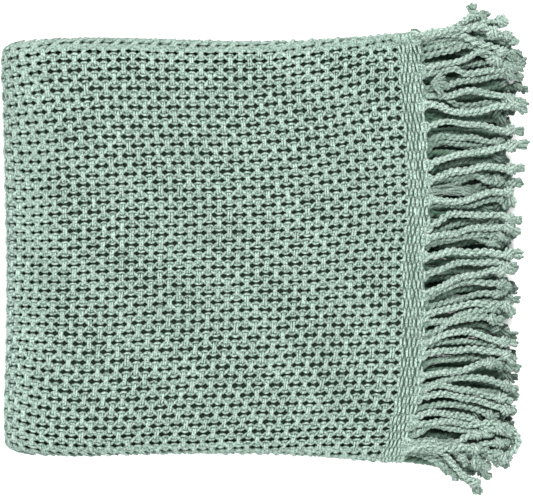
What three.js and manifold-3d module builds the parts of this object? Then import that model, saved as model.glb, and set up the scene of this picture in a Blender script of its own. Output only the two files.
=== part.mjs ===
import * as THREE from "three";
import { mergeVertices } from "three/addons/utils/BufferGeometryUtils.js";
import Module from "manifold-3d";

// A woven cotton throw, folded in thirds across its width and in quarters along its length.
// It lies on a flat surface with both of its knotted fringes at the right-hand end.
// Millimetres: X runs from the folded end to the fringes, Y across the throw and Z up.

// The cloth, as thick as one warp yarn over one weft yarn.
const CLOTH_THICKNESS = 4;
const LAYER_PITCH = 4.6;
const LAYERS_IN_PACKET = 3;
const PACKET_PITCH = LAYERS_IN_PACKET * LAYER_PITCH;
const LAYER_GAP = LAYER_PITCH - CLOTH_THICKNESS;

// The folded throw before it settles: a plain block of layers.
const LEFT_EDGE = -250;
const BAND_EDGE = 150;
const HALF_DEPTH = 200;
const INNER_BEND = 1.5 * LAYER_PITCH;
const OUTER_BEND = 4.5 * LAYER_PITCH;
const OUTER_REACH = OUTER_BEND + LAYER_PITCH + CLOTH_THICKNESS / 2;
const INNER_REACH = INNER_BEND + LAYER_PITCH + CLOTH_THICKNESS / 2;

// The heading band is woven tight, and the two ends of the throw don't quite meet.
const BAND_WIDTH = 19.5;
const BAND_THICKNESS = 3.4;
const LOWER_END_SETBACK = 3;
const HIDDEN_FOLD_SETBACK = 8;
const PART_GAP = 0.3;

// How the block settles: its height drops towards the folds that the top layer hangs over.
const BACK_DROP = { left: 0.42, right: 0.08, run: 32 };
const FRONT_DROP = { left: 0.12, right: 0.04, run: 16 };
const LEFT_DROP = { left: 0.14, right: 0.14, run: 46 };
const CORNER_RADIUS = 17;

// Real Y of the folds at the back and at the front of the throw, at stations along X.
const FOLD_EDGES = [
  { x: -251, back: 200, front: -193 },
  { x: -186, back: 203, front: -194.5 },
  { x: -100, back: 201.5, front: -192.4 },
  { x: -15, back: 199.5, front: -192.6 },
  { x: 50, back: 202, front: -195 },
  { x: 90, back: 205, front: -198.3 },
  { x: 120, back: 207, front: -201 },
  { x: 150, back: 209, front: -201.5 },
];

// Real X of the folded end and of the heading band's outer edge, at stations along Y.
const END_EDGES = [
  { y: -205, end: -247, band: 125 },
  { y: -165, end: -248.5, band: 136 },
  { y: -127, end: -247, band: 144 },
  { y: -70, end: -244.6, band: 148 },
  { y: -4, end: -244.6, band: 148.5 },
  { y: 35, end: -245.5, band: 153 },
  { y: 100, end: -247, band: 151 },
  { y: 150, end: -249.5, band: 146.5 },
  { y: 180, end: -251, band: 145 },
  { y: 210, end: -250, band: 139 },
];

// Fringe strands, each a bunch of warp ends twisted to a rope, knotted and left frayed.
const STRAND = { across: 2.6, up: 2.5 };
const STRAND_ROOT = { across: 1.6, up: 1.2 };
const STRAND_NECK = { across: 2.3, up: 2.2 };
const STRAND_KNOT = { across: 4.4, up: 3.3 };
const STRAND_TAIL = { across: 2.9, up: 1.5 };
const ROOT_DEPTH = 4;
const STRAND_LAYERS = 6;
const STRAND_REST = 2.8;
const FREE_SPACING = 5.9;
const TIP_SPACING = 7.2;
const FANNED_AT = 12;
const LANDED_AT = 68;

// Sections along a strand: how far along it each lies, and its half sizes there.
const STRAND_SECTIONS = [
  { along: 0.12, size: STRAND },
  { along: 0.38, size: STRAND },
  { along: 0.66, size: STRAND },
  { along: 0.83, size: STRAND_NECK },
  { along: 0.91, size: STRAND_KNOT },
  { along: 1, size: STRAND_TAIL },
];

// Strands of the top layer of cloth: Y at the band, at each third of the way and at the tip,
// and X of the tip.
const TOP_STRANDS = [
  { root: 200, third: 205, twoThirds: 199, tip: 185, reach: 232 },
  { root: 172, third: 177, twoThirds: 184.5, tip: 173, reach: 244 },
  { root: 158, third: 159, twoThirds: 165, tip: 163, reach: 246 },
  { root: 138, third: 132, twoThirds: 135.5, tip: 138, reach: 248 },
  { root: 118, third: 121, twoThirds: 115.5, tip: 115, reach: 248 },
  { root: 102, third: 109, twoThirds: 105.5, tip: 106, reach: 240 },
  { root: 81, third: 90, twoThirds: 96.5, tip: 97, reach: 251 },
  { root: 67, third: 73.5, twoThirds: 79, tip: 75.5, reach: 243 },
  { root: 48, third: 47, twoThirds: 53.5, tip: 52, reach: 238 },
  { root: 23, third: 34.5, twoThirds: 33.7, tip: 30, reach: 244 },
  { root: 12, third: 17.5, twoThirds: 22, tip: 12, reach: 241 },
  { root: -5, third: -1.5, twoThirds: -2.4, tip: -3.3, reach: 245 },
  { root: -24, third: -14, twoThirds: -10.5, tip: -13.5, reach: 229 },
  { root: -42, third: -28.5, twoThirds: -21, tip: -22.5, reach: 239 },
  { root: -61, third: -54, twoThirds: -49.5, tip: -57, reach: 236 },
  { root: -82, third: -67.5, twoThirds: -63, tip: -67, reach: 222 },
  { root: -96, third: -95, twoThirds: -94.5, tip: -102, reach: 236 },
  { root: -118, third: -115, twoThirds: -110, tip: -109, reach: 226 },
  { root: -140, third: -137, twoThirds: -144, tip: -151, reach: 234 },
  { root: -159, third: -154.5, twoThirds: -164, tip: -171, reach: 229 },
  { root: -187, third: -187, twoThirds: -204, tip: -234, reach: 203 },
];

// Strands of the layer of cloth under it, seen in the gaps between them.
const SECOND_STRANDS = [
  { root: 204, third: 208, twoThirds: 212, tip: 234, reach: 200 },
  { root: 195, third: 200, twoThirds: 213, tip: 221, reach: 229 },
  { root: 188, third: 193, twoThirds: 201, tip: 208, reach: 216 },
  { root: 181, third: 187, twoThirds: 195, tip: 198, reach: 240 },
  { root: 166, third: 171, twoThirds: 170.5, tip: 175, reach: 240 },
  { root: 157, third: 147, twoThirds: 152, tip: 152, reach: 249 },
  { root: 149, third: 138.5, twoThirds: 143.5, tip: 141, reach: 238 },
  { root: 96, third: 103, twoThirds: 97.5, tip: 93, reach: 229 },
  { root: 75, third: 79, twoThirds: 82, tip: 80, reach: 245 },
  { root: 62, third: 71.5, twoThirds: 66, tip: 63, reach: 242 },
  { root: 54.6, third: 56.5, twoThirds: 56.5, tip: 55, reach: 201 },
  { root: 43, third: 42.5, twoThirds: 46.5, tip: 48, reach: 234 },
  { root: 5, third: 12.5, twoThirds: 11, tip: 5.5, reach: 232 },
  { root: -33, third: -20.5, twoThirds: -16.5, tip: -19, reach: 238 },
  { root: -48, third: -34, twoThirds: -29.5, tip: -33, reach: 235 },
  { root: -55, third: -47, twoThirds: -42.5, tip: -44, reach: 228 },
  { root: -68, third: -63, twoThirds: -55.5, tip: -57, reach: 243 },
  { root: -89, third: -77, twoThirds: -82, tip: -88, reach: 240 },
  { root: -95, third: -86.5, twoThirds: -89, tip: -97, reach: 229 },
  { root: -127, third: -121, twoThirds: -118, tip: -115.5, reach: 239 },
  { root: -134, third: -130, twoThirds: -136, tip: -141, reach: 241 },
  { root: -149, third: -145.5, twoThirds: -149, tip: -156, reach: 230 },
  { root: -175, third: -168, twoThirds: -170, tip: -173, reach: 240 },
  { root: -182, third: -185.5, twoThirds: -180, tip: -181, reach: 217 },
  { root: -190.5, third: -192.5, twoThirds: -198, tip: -216, reach: 180 },
];

// Strands of the layers below, which lie evenly and follow the sway of the ones on top.
const LOWER_STRANDS = {
  count: 22,
  span: 374,
  offset: 6,
  follow: 0.3,
  jitter: 1.5,
  reach: 238,
  reachJitter: 7,
  swaySeed: 100,
  reachSeed: 31,
};

const wasm = await Module();
wasm.setup();

// A closed solid that manifold-3d can join to others.
function solidOf(geometry) {
  const bare = geometry.clone();
  bare.deleteAttribute("normal");
  bare.deleteAttribute("uv");
  const merged = mergeVertices(bare, 1e-4);
  return new wasm.Manifold(
    new wasm.Mesh({
      numProp: 3,
      vertProperties: new Float32Array(merged.attributes.position.array),
      triVerts: new Uint32Array(merged.index.array),
    }),
  );
}

function geometryOf(solid) {
  const mesh = solid.getMesh();
  const geometry = new THREE.BufferGeometry();
  geometry.setAttribute("position", new THREE.BufferAttribute(mesh.vertProperties, 3));
  geometry.setIndex(new THREE.BufferAttribute(mesh.triVerts, 1));
  geometry.computeVertexNormals();
  return geometry;
}

// Value of one column of a table at a station, on a smooth curve through the rows.
function readTable(table, stationKey, valueKey, station) {
  const last = table.length - 1;
  const clamped = THREE.MathUtils.clamp(station, table[0][stationKey], table[last][stationKey]);
  let row = 0;
  while (row < last - 1 && clamped > table[row + 1][stationKey]) row += 1;
  const before = table[Math.max(row - 1, 0)];
  const start = table[row];
  const end = table[row + 1];
  const after = table[Math.min(row + 2, last)];
  const width = end[stationKey] - start[stationKey];
  const part = (clamped - start[stationKey]) / width;
  const slopeIn = (end[valueKey] - before[valueKey]) / (end[stationKey] - before[stationKey]);
  const slopeOut = (after[valueKey] - start[valueKey]) / (after[stationKey] - start[stationKey]);
  const square = part * part;
  const cube = square * part;
  return (
    (2 * cube - 3 * square + 1) * start[valueKey] +
    (cube - 2 * square + part) * width * slopeIn +
    (3 * square - 2 * cube) * end[valueKey] +
    (cube - square) * width * slopeOut
  );
}

// Share of the height that is left at a distance from an edge, at a place along the throw.
function heightLeft(drop, x, distance) {
  const share = THREE.MathUtils.mapLinear(x, LEFT_EDGE, BAND_EDGE, drop.left, drop.right);
  const near = THREE.MathUtils.clamp(1 - distance / drop.run, 0, 1);
  return 1 - share * near * near;
}

// Height of the settled throw as a share of the plain block's height.
function heightShare(x, y) {
  return (
    heightLeft(BACK_DROP, x, HALF_DEPTH - y) *
    heightLeft(FRONT_DROP, x, HALF_DEPTH + y) *
    heightLeft(LEFT_DROP, x, x - LEFT_EDGE)
  );
}

// How far a rounded corner pulls the folded end in, at a depth across the throw.
function cornerInset(y) {
  const reach = Math.max(Math.abs(y) - (HALF_DEPTH - CORNER_RADIUS), 0);
  const bounded = Math.min(reach, CORNER_RADIUS);
  return CORNER_RADIUS - Math.sqrt(CORNER_RADIUS ** 2 - bounded ** 2);
}

// Moves a point of the plain block to where it lies in the settled throw.
function settle(x, y, z) {
  const back = readTable(FOLD_EDGES, "x", "back", x);
  const front = readTable(FOLD_EDGES, "x", "front", x);
  const depth = (y * (y > 0 ? back : -front)) / HALF_DEPTH;
  const end = readTable(END_EDGES, "y", "end", depth) + cornerInset(y);
  const band = readTable(END_EDGES, "y", "band", depth);
  const along = (x - LEFT_EDGE) / (BAND_EDGE - LEFT_EDGE);
  return new THREE.Vector3(
    THREE.MathUtils.lerp(end, band, along),
    depth,
    z * heightShare(x, y),
  );
}

// A station of a folded path: where the middle of the sheet lies, which way its outer face
// looks there, and whether the path runs forwards or back.
function station(place, level, faceOut, faceUp, forward) {
  return { place, level, faceOut, faceUp, forward };
}

// Straight stretch of a path. The outer face looks up or down.
function straight(places, level, up, forward) {
  return places.map((place) => station(place, level, 0, up, forward));
}

// Half turn of a path about a centre, from one level to another. Side is +1 where the turn
// bulges towards greater places, and steps is the number of facets round it.
function halfTurn(centre, level, radius, side, rising, outerFaceOut, steps) {
  const stations = [];
  for (let step = 1; step < steps; step += 1) {
    const angle = (Math.PI * step) / steps;
    const climb = rising ? -Math.cos(angle) : Math.cos(angle);
    const bulge = side * Math.sin(angle);
    const face = outerFaceOut ? 1 : -1;
    stations.push(
      station(centre + radius * bulge, level + radius * climb, face * bulge, face * climb, 1),
    );
  }
  return stations;
}

// Path across the throw: middle panel, back fold, top panel, front fold, bottom panel.
const BACK_BEND = LAYER_PITCH / 2;
const FRONT_BEND = LAYER_PITCH;
const BACK_CENTRE = HALF_DEPTH - BACK_BEND - CLOTH_THICKNESS / 2;
const FRONT_CENTRE = -HALF_DEPTH + FRONT_BEND + CLOTH_THICKNESS / 2;
const PANEL_STATIONS = [FRONT_CENTRE, -183, -160, -90, 0, 90, 158, 182, BACK_CENTRE];
const FREE_EDGE_SETBACK = 3;
const BACK_TURN_FACETS = 4;
const FRONT_TURN_FACETS = 5;

function acrossPath() {
  const rising = PANEL_STATIONS;
  const falling = [...PANEL_STATIONS].reverse();
  const middle = [rising[0] + FREE_EDGE_SETBACK, ...rising.slice(1)];
  const bottom = [...rising.slice(0, -1), rising.at(-1) - FREE_EDGE_SETBACK];
  return [
    ...straight(middle, 0, -1, 1),
    ...halfTurn(BACK_CENTRE, BACK_BEND, BACK_BEND, 1, true, true, BACK_TURN_FACETS),
    ...straight(falling, LAYER_PITCH, 1, -1),
    ...halfTurn(FRONT_CENTRE, 0, FRONT_BEND, -1, false, true, FRONT_TURN_FACETS),
    ...straight(bottom, -LAYER_PITCH, -1, 1),
  ];
}

// Path along the throw: second packet from its end at the right, inner fold, third packet,
// hidden fold at the right, bottom packet, outer fold, top packet.
const LEFT_CENTRE = LEFT_EDGE + OUTER_REACH;
const RIGHT_CENTRE = BAND_EDGE - HIDDEN_FOLD_SETBACK - INNER_REACH;
const TOP_END = BAND_EDGE - BAND_WIDTH - PART_GAP;
const LOWER_END = TOP_END - LOWER_END_SETBACK;
const PACKET_STATIONS = [LEFT_CENTRE, -208, -180, -100, -15, 60];
const LEFT_TURN_FACETS = 6;
const RIGHT_TURN_FACETS = 4;

function packetLevel(index) {
  return (index + 0.5) * PACKET_PITCH - LAYER_GAP / 2;
}

function alongPath() {
  const run = (last) => [...PACKET_STATIONS, last];
  const back = (last) => run(last).reverse();
  const middle = packetLevel(1.5);
  return [
    ...straight(back(LOWER_END), packetLevel(2), -1, -1),
    ...halfTurn(LEFT_CENTRE, middle, INNER_BEND, -1, false, false, LEFT_TURN_FACETS),
    ...straight(run(RIGHT_CENTRE), packetLevel(1), 1, 1),
    ...halfTurn(RIGHT_CENTRE, packetLevel(0.5), INNER_BEND, 1, false, true, RIGHT_TURN_FACETS),
    ...straight(back(RIGHT_CENTRE), packetLevel(0), -1, -1),
    ...halfTurn(LEFT_CENTRE, middle, OUTER_BEND, -1, true, true, LEFT_TURN_FACETS),
    ...straight(run(TOP_END), packetLevel(3), 1, 1),
  ];
}

// Sheet that follows one path along and another across, as a closed mesh. The path across
// is carried on the outer side of the path along.
function foldedSheet(along, across, thickness) {
  const positions = [];
  const indices = [];
  const columns = across.length;
  const sheetPoint = (a, c, side) => {
    const lift = c.level + c.faceUp * side;
    const y = c.place + c.faceOut * side;
    return settle(a.place + a.faceOut * lift, y, a.level + a.faceUp * lift);
  };
  for (const side of [thickness / 2, -thickness / 2])
    for (const a of along) for (const c of across) positions.push(...sheetPoint(a, c, side));
  const vertex = (face, row, column) => (face * along.length + row) * columns + column;
  const quad = (first, second, third, fourth, turned) => {
    if (turned) indices.push(first, third, second, first, fourth, third);
    else indices.push(first, fourth, second, second, fourth, third);
  };
  for (let row = 0; row < along.length - 1; row += 1)
    for (let column = 0; column < columns - 1; column += 1) {
      const sameWay = along[row + 1].forward * across[column + 1].forward > 0;
      for (const face of [0, 1]) {
        const corners = [
          vertex(face, row, column),
          vertex(face, row + 1, column),
          vertex(face, row + 1, column + 1),
          vertex(face, row, column + 1),
        ];
        if (face === 0) quad(...corners, sameWay);
        else quad(corners[0], corners[3], corners[2], corners[1], sameWay);
      }
    }
  for (let row = 0; row < along.length - 1; row += 1) {
    const end = columns - 1;
    quad(vertex(0, row, 0), vertex(1, row, 0), vertex(1, row + 1, 0), vertex(0, row + 1, 0), true);
    quad(vertex(0, row, end), vertex(0, row + 1, end), vertex(1, row + 1, end), vertex(1, row, end), true);
  }
  for (let column = 0; column < columns - 1; column += 1) {
    const end = along.length - 1;
    quad(
      vertex(0, 0, column),
      vertex(0, 0, column + 1),
      vertex(1, 0, column + 1),
      vertex(1, 0, column),
      true,
    );
    quad(
      vertex(0, end, column),
      vertex(1, end, column),
      vertex(1, end, column + 1),
      vertex(0, end, column + 1),
      true,
    );
  }
  const geometry = new THREE.BufferGeometry();
  geometry.setAttribute("position", new THREE.Float32BufferAttribute(positions, 3));
  geometry.setIndex(indices);
  geometry.computeVertexNormals();
  return geometry;
}

// Heading band of one end of the throw, with its own three layers.
function headingBand(packet, up, setback) {
  const level = packetLevel(packet);
  const inner = BAND_EDGE - BAND_WIDTH - setback;
  const outer = BAND_EDGE - setback;
  const places = up > 0 ? [inner, outer] : [outer, inner];
  return foldedSheet(straight(places, level, up, up), acrossPath(), BAND_THICKNESS);
}

// Half sizes and centre of each section, joined into one four-sided closed tube.
function strandGeometry(sections) {
  const positions = [];
  const indices = [];
  const corners = [
    { across: 1, up: -1 },
    { across: 1, up: 1 },
    { across: -1, up: 1 },
    { across: -1, up: -1 },
  ];
  sections.forEach(({ centre, size }, index) => {
    const before = sections[Math.max(index - 1, 0)].centre;
    const after = sections[Math.min(index + 1, sections.length - 1)].centre;
    const length = Math.hypot(after.x - before.x, after.y - before.y);
    const sideX = -(after.y - before.y) / length;
    const sideY = (after.x - before.x) / length;
    for (const corner of corners) {
      const offset = corner.across * size.across;
      positions.push(centre.x + sideX * offset, centre.y + sideY * offset, centre.z + corner.up * size.up);
    }
  });
  const sides = corners.length;
  const last = (sections.length - 1) * sides;
  indices.push(0, 2, 1, 0, 3, 2);
  indices.push(last, last + 1, last + 2, last, last + 2, last + 3);
  for (let ring = 0; ring < last; ring += sides)
    for (let side = 0; side < sides; side += 1) {
      const next = (side + 1) % sides;
      indices.push(ring + side, ring + sides + next, ring + sides + side);
      indices.push(ring + side, ring + next, ring + sides + next);
    }
  const geometry = new THREE.BufferGeometry();
  geometry.setAttribute("position", new THREE.Float32BufferAttribute(positions, 3));
  geometry.setIndex(indices);
  return geometry;
}

// Height of a strand of one layer, counted from the top, at a distance out from its band.
// The layers fan out as they leave the bands, then drop until the lowest lies on the surface.
function strandHeight(layer, out, share) {
  const middle = (STRAND_LAYERS - 1) / 2;
  const rootLevel = (packetLevel(3) + packetLevel(2)) / 2;
  const landing = STRAND_REST + middle * TIP_SPACING;
  const fall = THREE.MathUtils.smoothstep(out, 0, LANDED_AT);
  const fan = THREE.MathUtils.smoothstep(out, 0, FANNED_AT);
  const spread = THREE.MathUtils.smoothstep(out, FANNED_AT, LANDED_AT);
  const near = THREE.MathUtils.lerp(LAYER_PITCH * share, FREE_SPACING, fan);
  const spacing = THREE.MathUtils.lerp(near, TIP_SPACING, spread);
  return THREE.MathUtils.lerp(rootLevel * share, landing, fall) + (middle - layer) * spacing;
}

// One strand, from inside its band to its frayed tip.
function strand(row, layer, setback) {
  const bandX = readTable(END_EDGES, "y", "band", row.root) - setback;
  const depthShare = row.root > 0 ? FOLD_EDGES.at(-1).back : -FOLD_EDGES.at(-1).front;
  const share = heightShare(BAND_EDGE, (row.root * HALF_DEPTH) / depthShare);
  const third = (row.reach - bandX) / 3;
  const plan = new THREE.CatmullRomCurve3([
    new THREE.Vector3(bandX, row.root, 0),
    new THREE.Vector3(bandX + third, row.third, 0),
    new THREE.Vector3(bandX + 2 * third, row.twoThirds, 0),
    new THREE.Vector3(row.reach, row.tip, 0),
  ]);
  const root = new THREE.Vector3(bandX - ROOT_DEPTH, row.root, strandHeight(layer, 0, share));
  const sections = [{ centre: root, size: STRAND_ROOT }];
  for (const { along, size } of STRAND_SECTIONS) {
    const centre = plan.getPoint(along);
    centre.z = Math.max(strandHeight(layer, centre.x - bandX, share), size.up);
    sections.push({ centre, size });
  }
  return strandGeometry(sections);
}

// Numbers from -1 to 1 that look random and are the same every time.
const SCATTER = { stretch: 12.9898, shift: 4.1, size: 43758.5453 };
function scatter(seed) {
  const wave = Math.sin(seed * SCATTER.stretch + SCATTER.shift) * SCATTER.size;
  return 2 * (wave - Math.floor(wave)) - 1;
}

// Evenly spread strands of one hidden layer, swayed by the top strands above them.
function lowerStrands(layer) {
  const byRoot = [...TOP_STRANDS].reverse();
  const { count, span, offset, follow, jitter, reach, reachJitter, swaySeed, reachSeed } = LOWER_STRANDS;
  const rows = [];
  for (let index = 0; index < count; index += 1) {
    const shift = offset * ((layer % LAYERS_IN_PACKET) - 1);
    const root = -span / 2 + (span * index) / (count - 1) + shift;
    const bounded = THREE.MathUtils.clamp(root, -span / 2, span / 2);
    const sway = (column) => {
      const above = readTable(byRoot, "root", column, bounded) - bounded;
      return bounded + follow * above + jitter * scatter(layer * swaySeed + index + above);
    };
    rows.push({
      root: bounded,
      third: sway("third"),
      twoThirds: sway("twoThirds"),
      tip: sway("tip"),
      reach: reach + reachJitter * scatter(layer * reachSeed + index),
    });
  }
  return rows;
}

// Band and the strands of its three layers of cloth, fused into one solid.
function fringe(packet, up, setback, layers) {
  let solid = solidOf(headingBand(packet, up, setback));
  for (const { layer, rows } of layers)
    for (const row of rows) solid = solid.add(solidOf(strand(row, layer, setback)));
  return geometryOf(solid);
}

const clothMaterial = new THREE.MeshStandardMaterial({ color: 0xa4c0b0, roughness: 0.95, metalness: 0 });
const fringeMaterial = new THREE.MeshStandardMaterial({ color: 0xafcabb, roughness: 0.95, metalness: 0 });

const throwBlanket = new THREE.Group();

const wovenPanel = new THREE.Mesh(foldedSheet(alongPath(), acrossPath(), CLOTH_THICKNESS), clothMaterial);
wovenPanel.name = "woven_panel";
throwBlanket.add(wovenPanel);

const upperFringe = new THREE.Mesh(
  fringe(3, 1, 0, [
    { layer: 0, rows: TOP_STRANDS },
    { layer: 1, rows: SECOND_STRANDS },
    { layer: 2, rows: lowerStrands(2) },
  ]),
  fringeMaterial,
);
upperFringe.name = "fringe_upper";
throwBlanket.add(upperFringe);

const lowerFringe = new THREE.Mesh(
  fringe(2, -1, LOWER_END_SETBACK, [
    { layer: 3, rows: lowerStrands(3) },
    { layer: 4, rows: lowerStrands(4) },
    { layer: 5, rows: lowerStrands(5) },
  ]),
  fringeMaterial,
);
lowerFringe.name = "fringe_lower";
throwBlanket.add(lowerFringe);

// The origin is at the middle of the whole folded throw, on the surface that it lies on.
const box = new THREE.Box3().setFromObject(throwBlanket);
const middle = box.getCenter(new THREE.Vector3());
throwBlanket.position.set(-middle.x, -middle.y, -box.min.z);

export default throwBlanket;
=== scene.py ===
import math

import bmesh
import bpy
import numpy as np
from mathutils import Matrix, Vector
from mathutils.kdtree import KDTree


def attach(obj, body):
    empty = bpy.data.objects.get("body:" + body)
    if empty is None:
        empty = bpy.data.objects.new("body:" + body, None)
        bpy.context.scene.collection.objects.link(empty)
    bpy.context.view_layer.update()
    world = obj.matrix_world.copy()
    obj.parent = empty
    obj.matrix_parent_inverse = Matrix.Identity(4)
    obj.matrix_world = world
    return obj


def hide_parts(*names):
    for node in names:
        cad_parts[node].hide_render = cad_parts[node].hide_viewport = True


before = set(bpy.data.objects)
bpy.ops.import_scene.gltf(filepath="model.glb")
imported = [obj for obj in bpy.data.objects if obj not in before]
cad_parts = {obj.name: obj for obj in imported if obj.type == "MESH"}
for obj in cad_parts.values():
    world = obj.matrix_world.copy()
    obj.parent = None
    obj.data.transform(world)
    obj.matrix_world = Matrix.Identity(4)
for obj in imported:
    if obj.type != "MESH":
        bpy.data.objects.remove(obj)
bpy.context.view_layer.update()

# Camera and studio
# The throw lies on a plain white sweep and is seen from straight above through a long lens.
# Two broad soft lights, the stronger one beyond the throw's back edge, model the yarns, a weak
# one lifts the folded end at the left, and a pale surround fills the rest.
MM = 0.001
PHOTO_WIDTH = 533
MM_PER_PIXEL = 0.95
CAMERA_HEIGHT = 3.2
MIDDLE_OF_STACK = 0.027
SENSOR = 36.0
SWEEP = {"colour": "#F4F5F4", "roughness": 0.9, "glow": 0.25, "half_width": 4}
SURROUND = {"Color": (0.95, 1.0, 0.98, 1), "Strength": 0.38}

# Name, place and width in metres, and power in watts of each light.
LIGHTS = [
    ("key_light", (0.3, 1.7, 2.3), 1.0, 118),
    ("fill_light", (0.1, -1.7, 2.2), 1.2, 67),
    ("left_light", (-2.4, 0.0, 0.9), 1.0, 28),
]


def linear(hex_colour):
    """Linear red, green, blue and alpha of an sRGB hex colour."""
    channels = [int(hex_colour[i : i + 2], 16) / 255 for i in (1, 3, 5)]
    return [c / 12.92 if c <= 0.04045 else ((c + 0.055) / 1.055) ** 2.4 for c in channels] + [1.0]


def add_node(material, kind, settings=None, links=None):
    """One shader node of a material, with its settings and the sockets that feed it."""
    tree = material.node_tree
    node = tree.nodes.new("ShaderNode" + kind)
    for key, value in (settings or {}).items():
        if isinstance(key, int) or key in node.inputs:
            node.inputs[key].default_value = value
        else:
            setattr(node, key, value)
    for key, socket in (links or {}).items():
        tree.links.new(socket, node.inputs[key])
    return node


def plain_material(name, colour, roughness):
    """A material whose one shader has an even colour and roughness."""
    material = bpy.data.materials.new(name)
    material.use_nodes = True
    shader = material.node_tree.nodes["Principled BSDF"]
    shader.inputs["Base Color"].default_value = linear(colour)
    shader.inputs["Roughness"].default_value = roughness
    return material


def aim(thing, target):
    """Turns a camera or a light so that it looks at a point."""
    thing.rotation_euler = (Vector(target) - thing.location).to_track_quat("-Z", "Y").to_euler()


def add_object(name, data):
    """A new object at the origin of the scene."""
    thing = bpy.data.objects.new(name, data)
    bpy.context.collection.objects.link(thing)
    return thing


camera_data = bpy.data.cameras.new("camera")
camera_data.sensor_width = SENSOR
camera_data.lens = SENSOR * (CAMERA_HEIGHT - MIDDLE_OF_STACK) / (PHOTO_WIDTH * MM_PER_PIXEL * MM)
camera = add_object("camera", camera_data)
camera.location = (0, 0, CAMERA_HEIGHT)
bpy.context.scene.camera = camera

floor_mesh = bpy.data.meshes.new("floor")
floor_bm = bmesh.new()
bmesh.ops.create_grid(floor_bm, x_segments=1, y_segments=1, size=SWEEP["half_width"])
floor_bm.to_mesh(floor_mesh)
floor_bm.free()
sweep_paint = plain_material("matt white sweep, lit from behind", SWEEP["colour"], SWEEP["roughness"])
sweep_shader = sweep_paint.node_tree.nodes["Principled BSDF"]
sweep_shader.inputs["Emission Color"].default_value = (1, 1, 1, 1)
sweep_shader.inputs["Emission Strength"].default_value = SWEEP["glow"]
floor_mesh.materials.append(sweep_paint)
floor = add_object("floor", floor_mesh)

for name, place, size, energy in LIGHTS:
    light_data = bpy.data.lights.new(name, "AREA")
    light_data.shape = "DISK"
    light_data.size = size
    light_data.energy = energy
    light = add_object(name, light_data)
    light.location = place
    aim(light, (0, 0, 0))

world = bpy.data.worlds.new("studio")
world.use_nodes = True
for key, value in SURROUND.items():
    world.node_tree.nodes["Background"].inputs[key].default_value = value
bpy.context.scene.world = world
bpy.context.scene.view_settings.view_transform = "Standard"

# Ground of the folded cloth
# One woven length of about 1.2 m by 1.5 m, folded in thirds across its width and in quarters
# along its length. This thin sheet follows every layer just inside the yarns, painted in the dark
# shade that shows between them, and the yarns are laid over it.
CLOTH_THICKNESS = 4.0
LAYER_PITCH = 4.6
PACKET_PITCH = 3 * LAYER_PITCH
LAYER_GAP = LAYER_PITCH - CLOTH_THICKNESS
LEFT_EDGE = -250.0
BAND_EDGE = 150.0
HALF_DEPTH = 200.0
INNER_BEND = 1.5 * LAYER_PITCH
OUTER_BEND = 4.5 * LAYER_PITCH
OUTER_REACH = OUTER_BEND + LAYER_PITCH + CLOTH_THICKNESS / 2
INNER_REACH = INNER_BEND + LAYER_PITCH + CLOTH_THICKNESS / 2
BAND_WIDTH = 19.5
LOWER_END_SETBACK = 3.0
HIDDEN_FOLD_SETBACK = 8.0
FREE_EDGE_SETBACK = 3.0
PART_GAP = 0.3
BACK_BEND = LAYER_PITCH / 2
FRONT_BEND = LAYER_PITCH
BACK_CENTRE = HALF_DEPTH - BACK_BEND - CLOTH_THICKNESS / 2
FRONT_CENTRE = -HALF_DEPTH + FRONT_BEND + CLOTH_THICKNESS / 2
LEFT_CENTRE = LEFT_EDGE + OUTER_REACH
RIGHT_CENTRE = BAND_EDGE - HIDDEN_FOLD_SETBACK - INNER_REACH
TOP_END = BAND_EDGE - BAND_WIDTH - PART_GAP
LOWER_END = TOP_END - LOWER_END_SETBACK

# Share of the height that the settled stack loses at each side, at the throw's left and right
# ends, and the distance in from the side over which it does.
BACK_DROP = {"left": 0.42, "right": 0.08, "run": 32}
FRONT_DROP = {"left": 0.12, "right": 0.04, "run": 16}
LEFT_DROP = {"left": 0.14, "right": 0.14, "run": 46}

CORNER_RADIUS = 14.0
GROUND_THICKNESS = 0.6
GROUND_DEPTH = -1.9
GROUND_SHADE = "#081A0E"

# Real Y of the folds at the back and at the front of the throw, at stations along X.
FOLD_EDGES = {
    "x": (-251, -186, -100, -15, 50, 90, 120, 150),
    "back": (199.5, 202, 200.6, 198.4, 200, 202.3, 204.3, 206.4),
    "front": (-192.5, -194.2, -192.2, -192.2, -194, -196.6, -199.3, -199.6),
}

# Real X of the folded end and of the heading band's outer edge, at stations along Y.
END_EDGES = {
    "y": (-205, -165, -127, -70, -4, 35, 100, 150, 180, 210),
    "end": (-247.6, -249, -248.4, -246.9, -246.9, -247.8, -249.3, -250.6, -251.8, -250),
    "band": (125, 136, 144, 148, 148.5, 153, 151, 146.5, 145, 139),
}


def read_table(table, station_key, value_key, station):
    """Values of a table's column at stations, on a smooth curve through all of them."""
    places = np.array(table[station_key], float)
    values = np.array(table[value_key], float)
    last = len(places) - 1
    station = np.clip(station, places[0], places[-1])
    row = np.clip(np.searchsorted(places, station, side="left") - 1, 0, last - 1)
    before = np.maximum(row - 1, 0)
    after = np.minimum(row + 2, last)
    width = places[row + 1] - places[row]
    part = (station - places[row]) / width
    slope_in = (values[row + 1] - values[before]) / (places[row + 1] - places[before])
    slope_out = (values[after] - values[row]) / (places[after] - places[row])
    square = part * part
    cube = square * part
    start = (2 * cube - 3 * square + 1) * values[row] + (cube - 2 * square + part) * width * slope_in
    return start + (3 * square - 2 * cube) * values[row + 1] + (cube - square) * width * slope_out


def height_left(drop, x, distance):
    """Share of the height that is left at a distance from an edge."""
    along = (x - LEFT_EDGE) / (BAND_EDGE - LEFT_EDGE)
    share = drop["left"] + (drop["right"] - drop["left"]) * along
    near = np.clip(1 - distance / drop["run"], 0, 1)
    return 1 - share * near * near


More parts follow.
